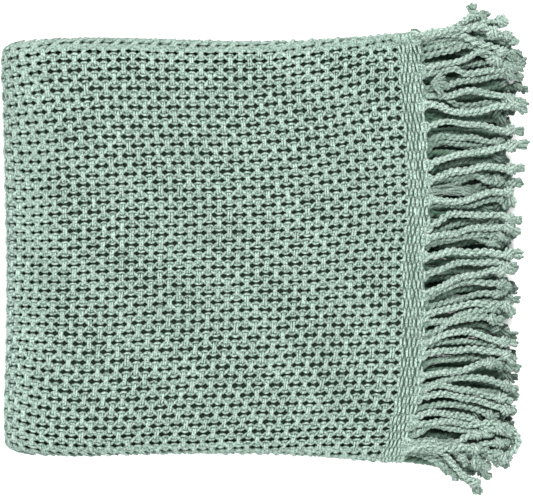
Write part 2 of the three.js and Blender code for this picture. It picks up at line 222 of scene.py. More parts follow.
def height_share(x, y):
    """Height of the settled throw as a share of a plain stack's."""
    back = height_left(BACK_DROP, x, HALF_DEPTH - y)
    front = height_left(FRONT_DROP, x, HALF_DEPTH + y)
    return back * front * height_left(LEFT_DROP, x, x - LEFT_EDGE)


def settle(x, y, z):
    """Where points of the plain stack lie in the settled throw."""
    back = read_table(FOLD_EDGES, "x", "back", x)
    front = read_table(FOLD_EDGES, "x", "front", x)
    depth = y * np.where(y > 0, back, -front) / HALF_DEPTH
    reach = np.clip(np.abs(y) - (HALF_DEPTH - CORNER_RADIUS), 0, CORNER_RADIUS)
    inset = CORNER_RADIUS - np.sqrt(CORNER_RADIUS**2 - reach**2)
    end = read_table(END_EDGES, "y", "end", depth) + inset
    band = read_table(END_EDGES, "y", "band", depth)
    along = (x - LEFT_EDGE) / (BAND_EDGE - LEFT_EDGE)
    return np.stack([end + (band - end) * along, depth, z * height_share(x, y)], axis=-1)


def follow(path, distance):
    """Place, level and left-hand normal at distances along a path of straights and turns."""
    place, level = np.zeros(distance.shape), np.zeros(distance.shape)
    out, up = np.zeros(distance.shape), np.zeros(distance.shape)
    at_place, at_level, heading = path["start"]
    done = -math.inf
    begun = 0.0
    for index, (length, turn, radius) in enumerate(path["stretches"]):
        end = begun + length if index < len(path["stretches"]) - 1 else math.inf
        here = (distance >= done) & (distance < end)
        gone = distance[here] - begun
        if turn:
            angle = heading + turn * gone / radius
            place[here] = at_place + turn * radius * (np.sin(angle) - math.sin(heading))
            level[here] = at_level - turn * radius * (np.cos(angle) - math.cos(heading))
            turned = heading + turn * length / radius
            at_place += turn * radius * (math.sin(turned) - math.sin(heading))
            at_level -= turn * radius * (math.cos(turned) - math.cos(heading))
            heading = turned
        else:
            angle = np.full(gone.shape, heading)
            place[here] = at_place + gone * math.cos(heading)
            level[here] = at_level + gone * math.sin(heading)
            at_place += length * math.cos(heading)
            at_level += length * math.sin(heading)
        out[here] = -np.sin(angle)
        up[here] = np.cos(angle)
        begun += length
        done = end
    return place, level, out, up


def packet_level(index):
    """Height of the middle of one of the four packets of three layers."""
    return (index + 0.5) * PACKET_PITCH - LAYER_GAP / 2


# A stretch is its length, the side that it turns to (0 where it is straight) and its radius.
ALONG = {
    "start": (LOWER_END, packet_level(2), math.pi),
    "stretches": [
        (LOWER_END - LEFT_CENTRE, 0, 0),
        (math.pi * INNER_BEND, 1, INNER_BEND),
        (RIGHT_CENTRE - LEFT_CENTRE, 0, 0),
        (math.pi * INNER_BEND, -1, INNER_BEND),
        (RIGHT_CENTRE - LEFT_CENTRE, 0, 0),
        (math.pi * OUTER_BEND, -1, OUTER_BEND),
        (TOP_END - LEFT_CENTRE, 0, 0),
    ],
}
ACROSS = {
    "start": (FRONT_CENTRE + FREE_EDGE_SETBACK, 0.0, 0.0),
    "stretches": [
        (BACK_CENTRE - FRONT_CENTRE - FREE_EDGE_SETBACK, 0, 0),
        (math.pi * BACK_BEND, 1, BACK_BEND),
        (BACK_CENTRE - FRONT_CENTRE, 0, 0),
        (math.pi * FRONT_BEND, 1, FRONT_BEND),
        (BACK_CENTRE - FRONT_CENTRE - FREE_EDGE_SETBACK, 0, 0),
    ],
}


def stretch_ends(path):
    """Distances along a path at which its stretches begin and end."""
    return np.concatenate([[0.0], np.cumsum([stretch[0] for stretch in path["stretches"]])])


def fold(points):
    """Lays points of flat cloth, in mm along it, across it and proud of it, in the folds."""
    u, v, proud = points[:, 0], points[:, 1], points[:, 2]
    y, layer, side_y, side_up = follow(ACROSS, v)
    x, z, out, up = follow(ALONG, u)
    y = y - side_y * proud
    lift = layer - side_up * proud
    x = x + out * lift
    z = z + up * lift
    return settle(x, y, z)


def place_mesh(mesh, spots):
    """Writes a mesh's vertices, given in millimetres."""
    mesh.vertices.foreach_set("co", (np.asarray(spots) * MM).ravel())
    mesh.update()


def read_spots(mesh):
    """A mesh's vertices as an array."""
    spots = np.empty(len(mesh.vertices) * 3)
    mesh.vertices.foreach_get("co", spots)
    return spots.reshape(-1, 3)


def stations_along(ends, spacing, turn_steps):
    """Stations along a path: even on the straights and closer on the turns."""
    stations = [ends[0]]
    for index in range(len(ends) - 1):
        length = ends[index + 1] - ends[index]
        steps = turn_steps if index % 2 else max(2, round(length / spacing))
        stations.extend(ends[index] + length * (step + 1) / steps for step in range(steps))
    return np.array(stations)


def folded_ground(name, u_stations, v_stations, depth):
    """A grid of cloth laid in the folds at a depth under its outer face."""
    mesh = bpy.data.meshes.new(name)
    bm = bmesh.new()
    columns, rows = len(u_stations) - 1, len(v_stations) - 1
    bmesh.ops.create_grid(bm, x_segments=columns, y_segments=rows, size=1)
    bm.to_mesh(mesh)
    bm.free()
    flat = read_spots(mesh)
    u = u_stations[np.rint((flat[:, 0] + 1) / 2 * columns).astype(int)]
    v = v_stations[np.rint((flat[:, 1] + 1) / 2 * rows).astype(int)]
    place_mesh(mesh, fold(np.stack([u, v, np.full(u.shape, depth)], axis=-1)))
    mesh.shade_smooth()
    return add_object(name, mesh)


def thicken(piece, thickness):
    """Gives a sheet its thickness, evenly on both sides."""
    solid = piece.modifiers.new("thickness", "SOLIDIFY")
    solid.thickness = thickness * MM
    solid.offset = 0
    solid.use_even_offset = False


GROUND_SPACING = 22.0
TURN_STEPS = {"along": 8, "across": 6}
along_ends = stretch_ends(ALONG)
across_ends = stretch_ends(ACROSS)
along_stations = stations_along(along_ends, GROUND_SPACING, TURN_STEPS["along"])
across_stations = stations_along(across_ends, GROUND_SPACING, TURN_STEPS["across"])
ground = folded_ground("cloth_ground", along_stations, across_stations, GROUND_DEPTH)
thicken(ground, GROUND_THICKNESS)
deep_shade = plain_material("cotton in deep shade", GROUND_SHADE, 1.0)
ground.data.materials.append(deep_shade)
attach(ground, "root")
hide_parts("woven_panel")

# Yarns of the gauze weave
# Soft 2 mm cotton yarns. The warps run along the throw in pairs that cross between every two
# columns of weft: one of each pair always lies under the wefts, the other always over them.
# The wefts run across in pairs and show as short posts, staggered like bricks.
COLUMN_PITCH = 9.12
ROW_PITCH = 8.64
WEFT = {"radius": 1.2, "half_gap": 1.0, "lift": 1.65, "squareness": 0.2}
UNDER_WARP = {
    "side": -1,
    "swing": 2.8,
    "squareness": 0.12,
    "lift": -1.1,
    "proud": -0.45,
    "radius": 1.15,
    "spread": 0.6,
}
OVER_WARP = {
    "side": 1,
    "swing": 2.6,
    "squareness": 0.04,
    "lift": 1.3,
    "proud": 0.0,
    "radius": 1.15,
    "spread": 0.1,
}
CLOTH_COLOUR = "#C0DACE"
CLOTH_DEEP = "#AFC8BD"
# Painted shade for the crevices between yarns.
PAINTED_CREVICE_SHADE = "#17492E"
TWIST_HEIGHT = 0.35
WELD = 0.0001

# Depths at which a yarn is painted in full shade and in full light, the painted shade on the
# flanks of the yarns where they face aside, and how yarns close to the floor are pressed against it.
DEPTH = {"crevice": -0.9, "crest": 1.3}
WARP_DEPTH = {"crevice": -1.0, "crest": 2.1}
FLANK = {"shade": 0.62, "facing": (0.1, 0.85)}
PRESSED = {"below": 1.0, "share": 0.7}

# Unevenness: lengths and shares of the waves by which the cloth wanders, how far the whole cloth
# and a single yarn do, how far apart on those waves two yarns are, and how thickness follows.
WAVES = ((70, 1.0), (38, 0.8), (21, 0.6), (12, 0.45))
WAVES_EACH = 3
UNEVEN = {"cloth": 0.5, "across_seed": 3, "along_seed": 5, "yarn": 0.26, "apart": (37, 53), "thick": 0.6}


def wander(u, v, seed, size):
    """A smooth uneven shift of the weave, the same for yarns that lie together."""
    rng = np.random.default_rng(seed)
    total = np.zeros(np.broadcast(u, v).shape)
    for wavelength, share in WAVES:
        for _ in range(WAVES_EACH):
            angle = rng.uniform(0, 2 * math.pi)
            phase = rng.uniform(0, 2 * math.pi)
            wave = (u * math.cos(angle) + v * math.sin(angle)) * 2 * math.pi / wavelength
            total = total + share * np.sin(wave + phase)
    return total * size / WAVES_EACH


# How far the weave strays from straight columns and rows on the top of the throw, in mm, as
# Chebyshev coefficients along and across it. The rows climb to the fringe, most near the middle.
STRAY_ALONG = [
    [-0.3, -1.9, -2.6, -0.3, 1.2, -0.1],
    [-0.4, -0.9, 3.2, -1.3, 1.3],
    [-3.9, 0.8, -0.9, 1.0],
    [-0.6, 0.6, 0.8],
    [-0.8, 1.0],
    [0.2],
]
STRAY_ACROSS = [
    [-7.1, -0.5, 0.5, 0.8, -0.3, -1.6],
    [-7.7, 4.1, 1.4, -1.2, -0.3],
    [-2.7, -2.9, -2.2, 0.2],
    [1.0, 1.9, 0.2],
    [0.3, -2.0],
    [0.8],
]
STRAY_SPAN = {"along": 210.0, "across": 200.0, "held_by_band": 40.0}

# How far the columns of weft bunch up towards the top at the folded end, in mm, at distances
# along the cloth from the end of the fold.
BUNCHING = {
    "along": (-110, -45, -31, -22, -13, -4, 5, 16),
    "shift": (0, 8.0, 8.4, 6.7, 4.3, 1.6, 0.7, 0),
}


def stray(coefficients, u, v):
    """A smooth shift of the weave at places on the cloth."""
    size = len(coefficients)
    table = np.zeros((size, size))
    for row, values in enumerate(coefficients):
        table[row, : len(values)] = values
    along = (u - (along_ends[6] + along_ends[7]) / 2) / STRAY_SPAN["along"]
    across = (v - (across_ends[2] + across_ends[3]) / 2) / STRAY_SPAN["across"]
    return np.polynomial.chebyshev.chebval2d(np.clip(along, -1, 1), np.clip(across, -1, 1), table)


def strayed(u, v):
    """Places on the cloth, moved as the weave strays on the top of the throw."""
    free = smoothstep(along_ends[7] - u, 0, STRAY_SPAN["held_by_band"])
    on_top = smoothstep(u, along_ends[5], along_ends[6])
    bunched = read_table(BUNCHING, "along", "shift", u - along_ends[6])
    along = u + on_top * free * stray(STRAY_ALONG, u, v) + bunched
    return along, v + on_top * stray(STRAY_ACROSS, u, v)


def round_section(sides):
    """A closed outline of radius 1 that a yarn is swept with."""
    curve = bpy.data.curves.new("section", "CURVE")
    curve.dimensions = "2D"
    outline = curve.splines.new("POLY")
    outline.points.add(sides - 1)
    for index, point in enumerate(outline.points):
        angle = -2 * math.pi * index / sides
        point.co = (math.cos(angle), math.sin(angle), 0, 1)
    outline.use_cyclic_u = True
    return add_object("section", curve)


def sweep(name, runs, sides):
    """One mesh of yarns swept along runs of places and radii, which may be flat cloth's."""
    section = round_section(sides)
    curve = bpy.data.curves.new(name, "CURVE")
    curve.dimensions = "3D"
    curve.bevel_mode = "OBJECT"
    curve.bevel_object = section
    curve.use_fill_caps = True
    for run in runs:
        spline = curve.splines.new("POLY")
        spline.points.add(len(run) - 1)
        spline.points.foreach_set("co", np.column_stack([run[:, :3], np.ones(len(run))]).ravel())
        spline.points.foreach_set("radius", np.ascontiguousarray(run[:, 3], np.float32))
    holder = add_object(name, curve)
    depsgraph = bpy.context.evaluated_depsgraph_get()
    mesh = bpy.data.meshes.new_from_object(holder.evaluated_get(depsgraph))
    mesh.name = name
    bpy.data.objects.remove(holder)
    bpy.data.objects.remove(section)
    bm = bmesh.new()
    bm.from_mesh(mesh)
    bmesh.ops.remove_doubles(bm, verts=bm.verts, dist=WELD)
    bm.to_mesh(mesh)
    bm.free()
    mesh.shade_smooth()
    return mesh


def store_painted_light(mesh, values):
    """Keeps the painted light of each vertex in its depth attribute: 1 in full light, less in painted
    shade.
    """
    depth = mesh.attributes.new("depth", "FLOAT", "POINT")
    depth.data.foreach_set("value", np.asarray(values, np.float32))


def cotton(name, colour, deep, twist_turns):
    """Matt carded cotton yarn: soft, a little uneven in tone, with the twist of its plies, and with
    painted shade where its depth attribute is low.
    """
    material = bpy.data.materials.new(name)
    material.use_nodes = True
    shader = material.node_tree.nodes["Principled BSDF"]
    shader.inputs["Roughness"].default_value = 0.92
    shader.inputs["Specular IOR Level"].default_value = 0.25
    shader.inputs["Sheen Weight"].default_value = 0.25
    shader.inputs["Sheen Roughness"].default_value = 0.6
    place = add_node(material, "TexCoord")
    on_object = {"Vector": place.outputs["Object"]}

    # Soft patches of tone, about 20 mm across.
    patches = add_node(material, "TexNoise", {"Scale": 45.0, "Detail": 2.0}, on_object)
    shades = {"data_type": "RGBA", 6: linear(deep), 7: linear(colour)}
    tone = add_node(material, "Mix", shades, {"Factor": patches.outputs["Fac"]})

    # Painted shade in the crevices, from the depth attribute, with a speckle of loose fibres about 1.5 mm
    # across.
    depth = add_node(material, "Attribute", {"attribute_name": "depth"})
    fibres = {"Scale": 650.0, "Detail": 3.0, "Roughness": 0.6}
    fuzz = add_node(material, "TexNoise", fibres, on_object)
    contrast = {"From Min": 0.38, "From Max": 0.52, "To Min": 0.1, "To Max": 1.0}
    speckle = add_node(material, "MapRange", contrast, {"Value": fuzz.outputs["Fac"]})
    factors = {0: depth.outputs["Fac"], 1: speckle.outputs["Result"]}
    speckled = add_node(material, "Math", {"operation": "MULTIPLY"}, factors)
    crevice = {"data_type": "RGBA", 6: linear(PAINTED_CREVICE_SHADE)}
    tones = {"Factor": speckled.outputs["Value"], 7: tone.outputs[2]}
    shaded = add_node(material, "Mix", crevice, tones)

    # Relief of the plies' twist and of the fibres.
    turns = {"Scale": (1.0, twist_turns, 1.0)}
    plies = add_node(material, "Mapping", turns, {"Vector": place.outputs["UV"]})
    bands = {"bands_direction": "DIAGONAL", "Scale": 0.32, "Distortion": 1.2, "Detail": 1.0}
    twist = add_node(material, "TexWave", bands, {"Vector": plies.outputs["Vector"]})
    heights = {0: twist.outputs["Fac"], 1: fuzz.outputs["Fac"]}
    relief = add_node(material, "Math", {"operation": "ADD"}, heights)
    strength = {"Strength": 0.7, "Distance": TWIST_HEIGHT * MM}
    bump = add_node(material, "Bump", strength, {"Height": relief.outputs["Value"]})
    links = material.node_tree.links
    links.new(shaded.outputs[2], shader.inputs["Base Color"])
    links.new(bump.outputs["Normal"], shader.inputs["Normal"])
    return material


def smoothstep(value, start, end):
    """A soft step from 0 to 1 between two values."""
    part = np.clip((value - start) / (end - start), 0, 1)
    return part * part * (3 - 2 * part)


def full_wave(angle, squareness):
    """A cosine with flatter crests and steeper flanks."""
    return (np.cos(angle) - squareness * np.cos(3 * angle)) / (1 - squareness)


def run_of(along, across, proud, radius):
    """A yarn's run over the flat cloth: its places and its radius at each."""
    return np.stack(np.broadcast_arrays(along, across, proud, radius), axis=-1)


def warp_runs(rows, u):
    """Both warps of each pair, over a stretch of the cloth."""
    runs = []
    half_turn = math.pi * u / COLUMN_PITCH
    for row in rows:
        for yarn in (OVER_WARP, UNDER_WARP):
            side = -yarn["side"] if row % 2 else yarn["side"]
            v = (row + 0.5) * ROW_PITCH + side * yarn["swing"] * full_wave(half_turn, yarn["squareness"])
            proud = yarn["proud"] + yarn["lift"] * np.cos(2 * half_turn)
            radius = yarn["radius"] + yarn["spread"] * np.sin(half_turn) ** 2
            runs.append(run_of(u, v, proud, radius))
    return runs


def weft_runs(columns, v):
    """Both wefts of each pair, over a stretch of the cloth."""
    runs = []
    for column in columns:
        phase = math.pi * (v / ROW_PITCH - column)
        proud = WEFT["lift"] * full_wave(phase, WEFT["squareness"])
        for side in (-1, 1):
            u = column * COLUMN_PITCH + side * WEFT["half_gap"]
            runs.append(run_of(u, v, proud, WEFT["radius"]))
    return runs


# The weave closes up where the cloth bends: how much thicker its yarns lie, at distances in from
# each fold of the top packet, and how much painted shade that adds to them.
CLOSED_UP = {
    "left": [(0, 0.25), (10, 0.15), (24, 0)],
    "back": [(-8, 0.35), (0, 0.65), (3, 1.1), (5, 0.85), (8, 0.15), (12, 0)],
    "front": [(0, 0.4), (6, 0)],
}
CLOSED_SHADE = 0.35


def closed_up(u, v):
    """How much the yarns close up near the folds of the top packet."""
    along, across = strayed(u, v)
    distances = {
        "left": u - along_ends[6],
        "back": across - across_ends[2],
        "front": across_ends[3] - across,
    }
    shares = []
    for edge, distance in distances.items():
        places, thickening = np.transpose(CLOSED_UP[edge])
        shares.append(np.interp(distance, places, thickening))
    return np.max(shares, axis=0)


def weave_piece(name, runs, sides, seed, depth=DEPTH):
    """Yarns swept flat, shifted a little unevenly and laid in the folds."""
    next_u, next_v = UNEVEN["apart"]
    shifted = []
    for index, run in enumerate(runs):
        u, v = run[:, 0], run[:, 1]
        own = wander(u + next_u * index, v + next_v * index, seed, UNEVEN["yarn"])
        across = v + wander(u, v, UNEVEN["across_seed"], UNEVEN["cloth"]) + own
        along = u + wander(u, v, UNEVEN["along_seed"], UNEVEN["cloth"]) + own
        radius = run[:, 3] * (1 + UNEVEN["thick"] * own) * (1 + closed_up(u, v))
        shifted.append(run_of(along, across, run[:, 2], radius))
    mesh = sweep(name, shifted, sides)
    flat = read_spots(mesh)
    # Painted shade: darker deep in the weave, on flanks that face aside, and where the weave closes up by
    # the folds.
    facing = np.empty(len(flat) * 3)
    mesh.vertices.foreach_get("normal", facing)
    flank_painted_shade = FLANK["shade"] * (1 - smoothstep(facing[2::3], *FLANK["facing"]))
    fold_painted_shade = CLOSED_SHADE * closed_up(flat[:, 0], flat[:, 1])
    proud = smoothstep(flat[:, 2], depth["crevice"], depth["crest"])
    store_painted_light(mesh, proud * (1 - flank_painted_shade) * (1 - fold_painted_shade))
    along, across = strayed(flat[:, 0], flat[:, 1])
    spots = fold(np.stack([along, across, flat[:, 2]], axis=-1))
    low = PRESSED["below"] - spots[:, 2]
    spots[:, 2] += np.maximum(low, 0) * PRESSED["share"]
    place_mesh(mesh, spots)
    mesh.materials.append(cloth_yarn)
    piece = add_object(name, mesh)
    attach(piece, "root")
    return piece


def even(start, end, step):
    """Evenly spaced distances from start to end, about a step apart."""
    return np.linspace(start, end, max(2, round((end - start) / step) + 1))


cloth_yarn = cotton("carded cotton yarn, pale sage", CLOTH_COLOUR, CLOTH_DEEP, twist_turns=300)
TOP_STEP = COLUMN_PITCH / 4
UNDER_STEP = COLUMN_PITCH / 3
END_MARGIN = 6.0
FOLD_MARGIN = 3.0
ROW_CLIMB = 18.0
top_from = along_ends[5] - END_MARGIN
top_to = along_ends[7]
panel_from = across_ends[1] - FOLD_MARGIN
panel_to = across_ends[4] + FOLD_MARGIN
top_edge = panel_to + ROW_CLIMB
panel_rows = range(math.ceil(panel_from / ROW_PITCH), math.floor(panel_to / ROW_PITCH))
top_columns = range(math.ceil(top_from / COLUMN_PITCH), math.floor(top_to / COLUMN_PITCH) + 1)
top_rows = range(panel_rows[0], math.floor(top_edge / ROW_PITCH))
top_yarns = warp_runs(top_rows, even(top_from, top_to, TOP_STEP))
weave_piece("top_warps", top_yarns, sides=5, seed=11, depth=WARP_DEPTH)
top_yarns = weft_runs(top_columns, even(panel_from, top_edge, TOP_STEP))
weave_piece("top_wefts", top_yarns, sides=5, seed=12)

# Underside of the folded cloth
# The bottom packet shows the same weave to the surface that it lies on, and round the hidden
# fold at the fringe end.
SIDE_MARGIN = 12.0
under_from = along_ends[3] - SIDE_MARGIN
under_to = top_from
under_columns = range(math.ceil(under_from / COLUMN_PITCH), math.ceil(under_to / COLUMN_PITCH))
under_yarns = warp_runs(panel_rows, even(under_from, under_to, UNDER_STEP))
weave_piece("underside_warps", under_yarns, sides=4, seed=13, depth=WARP_DEPTH)
under_yarns = weft_runs(under_columns, even(panel_from, panel_to, UNDER_STEP))
weave_piece("underside_wefts", under_yarns, sides=4, seed=14)

# Folded edges of the two middle packets
# They show in the stack's sides, between the top and the bottom packets, and at the spiral of
# folds at the left-hand end.
SIDE_STRIPS = [
    (across_ends[1] - SIDE_MARGIN, across_ends[2] + SIDE_MARGIN),
    (across_ends[3] - SIDE_MARGIN, across_ends[4] + SIDE_MARGIN),
]
middle_columns = range(0, math.ceil(under_from / COLUMN_PITCH))
side_yarns = []
for low, high in SIDE_STRIPS:
    side_rows = range(math.ceil(low / ROW_PITCH), math.floor(high / ROW_PITCH))
    side_yarns.extend(warp_runs(side_rows, even(0, under_from, UNDER_STEP)))
    side_yarns.extend(weft_runs(middle_columns, even(low, high, UNDER_STEP)))
weave_piece("middle_packet_edges", side_yarns, sides=4, seed=15)

# Selvedge of the inner layers
# The cloth's edge comes out at the back, under the fold of each packet. Its last two warps twist
# round each other to a cord.
SELVEDGE = {"inset": 0.5, "twist": COLUMN_PITCH, "helix": 1.15, "radius": 1.1}
selvedge_runs = []
selvedge_u = even(0, along_ends[7], TOP_STEP)
for ply in (0, 1):
    angle = 2 * math.pi * selvedge_u / SELVEDGE["twist"] + math.pi * ply
    v = across_ends[5] - SELVEDGE["inset"] + SELVEDGE["helix"] * np.cos(angle)
    proud = SELVEDGE["helix"] * np.sin(angle)
    selvedge_runs.append(run_of(selvedge_u, v, proud, SELVEDGE["radius"]))
weave_piece("selvedge", selvedge_runs, sides=4, seed=18)

# Heading bands
# A narrow weft-faced band closes each end of the cloth. Twelve soft wefts pass over and under
# flat groups of warps, each half a step from the next, so that the band shows short upright
# dashes in rows as wide as the weave's.
# The sheet under the upper band is painted in half shade and the one under the lower band in deep shade,
# for the shade between the dashes; the dashes get painted shade by their depth.
BAND_GROUND_DEPTH = -1.6
BAND_SHADE = "#52705F"
BAND_WEFTS = 12
BAND_WEFT_PITCH = 1.9
BAND_WEFT = {
    "radius": 1.08,
    "least_radius": 0.4,
    "spread": 0.45,
    "lift": 1.5,
    "squareness": 0.05,
    "lean": 0.2,
    "plump": 0.06,
    "seed": 40,
}
BAND_DEPTH = {"crevice": -0.9, "crest": 2.3}
BAND_STEP = ROW_PITCH / 6


def band_runs(columns, v):
    """The wefts of a heading band, over a stretch of its length, each dash leaning its own way."""
    rng = np.random.default_rng(BAND_WEFT["seed"])
    marks = np.arange(v[0], v[-1] + ROW_PITCH, ROW_PITCH / 2)
    runs = []
    for index, column in enumerate(columns):
        wave = full_wave(math.pi * (v / ROW_PITCH - index), BAND_WEFT["squareness"])
        lean = np.interp(v, marks, rng.normal(0, BAND_WEFT["lean"], marks.shape))
        plump = np.interp(v, marks, rng.normal(1, BAND_WEFT["plump"], marks.shape))
        radius = np.maximum(BAND_WEFT["radius"] + BAND_WEFT["spread"] * wave, BAND_WEFT["least_radius"])
        runs.append(run_of(column + lean, v, BAND_WEFT["lift"] * wave, radius * plump))
    return runs


band_shade = plain_material("cotton in half shade", BAND_SHADE, 1.0)
upper_from = along_ends[7] + PART_GAP
lower_from = -PART_GAP - BAND_WIDTH
for name, start, shade in (
    ("upper_band_ground", upper_from, band_shade),
    ("lower_band_ground", lower_from, deep_shade),
):
    ends = np.array([start, start + BAND_WIDTH])
    band_ground = folded_ground(name, ends, across_stations, BAND_GROUND_DEPTH)
    thicken(band_ground, GROUND_THICKNESS)
    band_ground.data.materials.append(shade)
    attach(band_ground, "root")

weft_places = (np.arange(BAND_WEFTS) - 0.5) * BAND_WEFT_PITCH
upper_runs = band_runs(upper_from + weft_places, even(panel_from, top_edge, BAND_STEP))
lower_runs = []
for low, high in SIDE_STRIPS:
    lower_runs.extend(band_runs(lower_from + weft_places, even(low, high, BAND_STEP)))
upper_band = weave_piece("upper_band", upper_runs, sides=5, seed=16, depth=BAND_DEPTH)
lower_band = weave_piece("lower_band", lower_runs, sides=4, seed=17, depth=BAND_DEPTH)
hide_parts("fringe_upper")
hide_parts("fringe_lower")

# Twisted fringe
# The warps of each end leave the band in bunches, twist together to two-ply ropes about 8 mm
# thick, end in an overhand knot and fray out past it. Six layers of them lie fanned and sagging.
ROOT_DEPTH = 4.0
STRAND_LAYERS = 6
STRAND_REST = 4.2
FREE_SPACING = 5.9
TIP_SPACING = 7.2
ROUTE_STEPS = 60
FANNED_AT = 12.0
LANDED_AT = 68.0

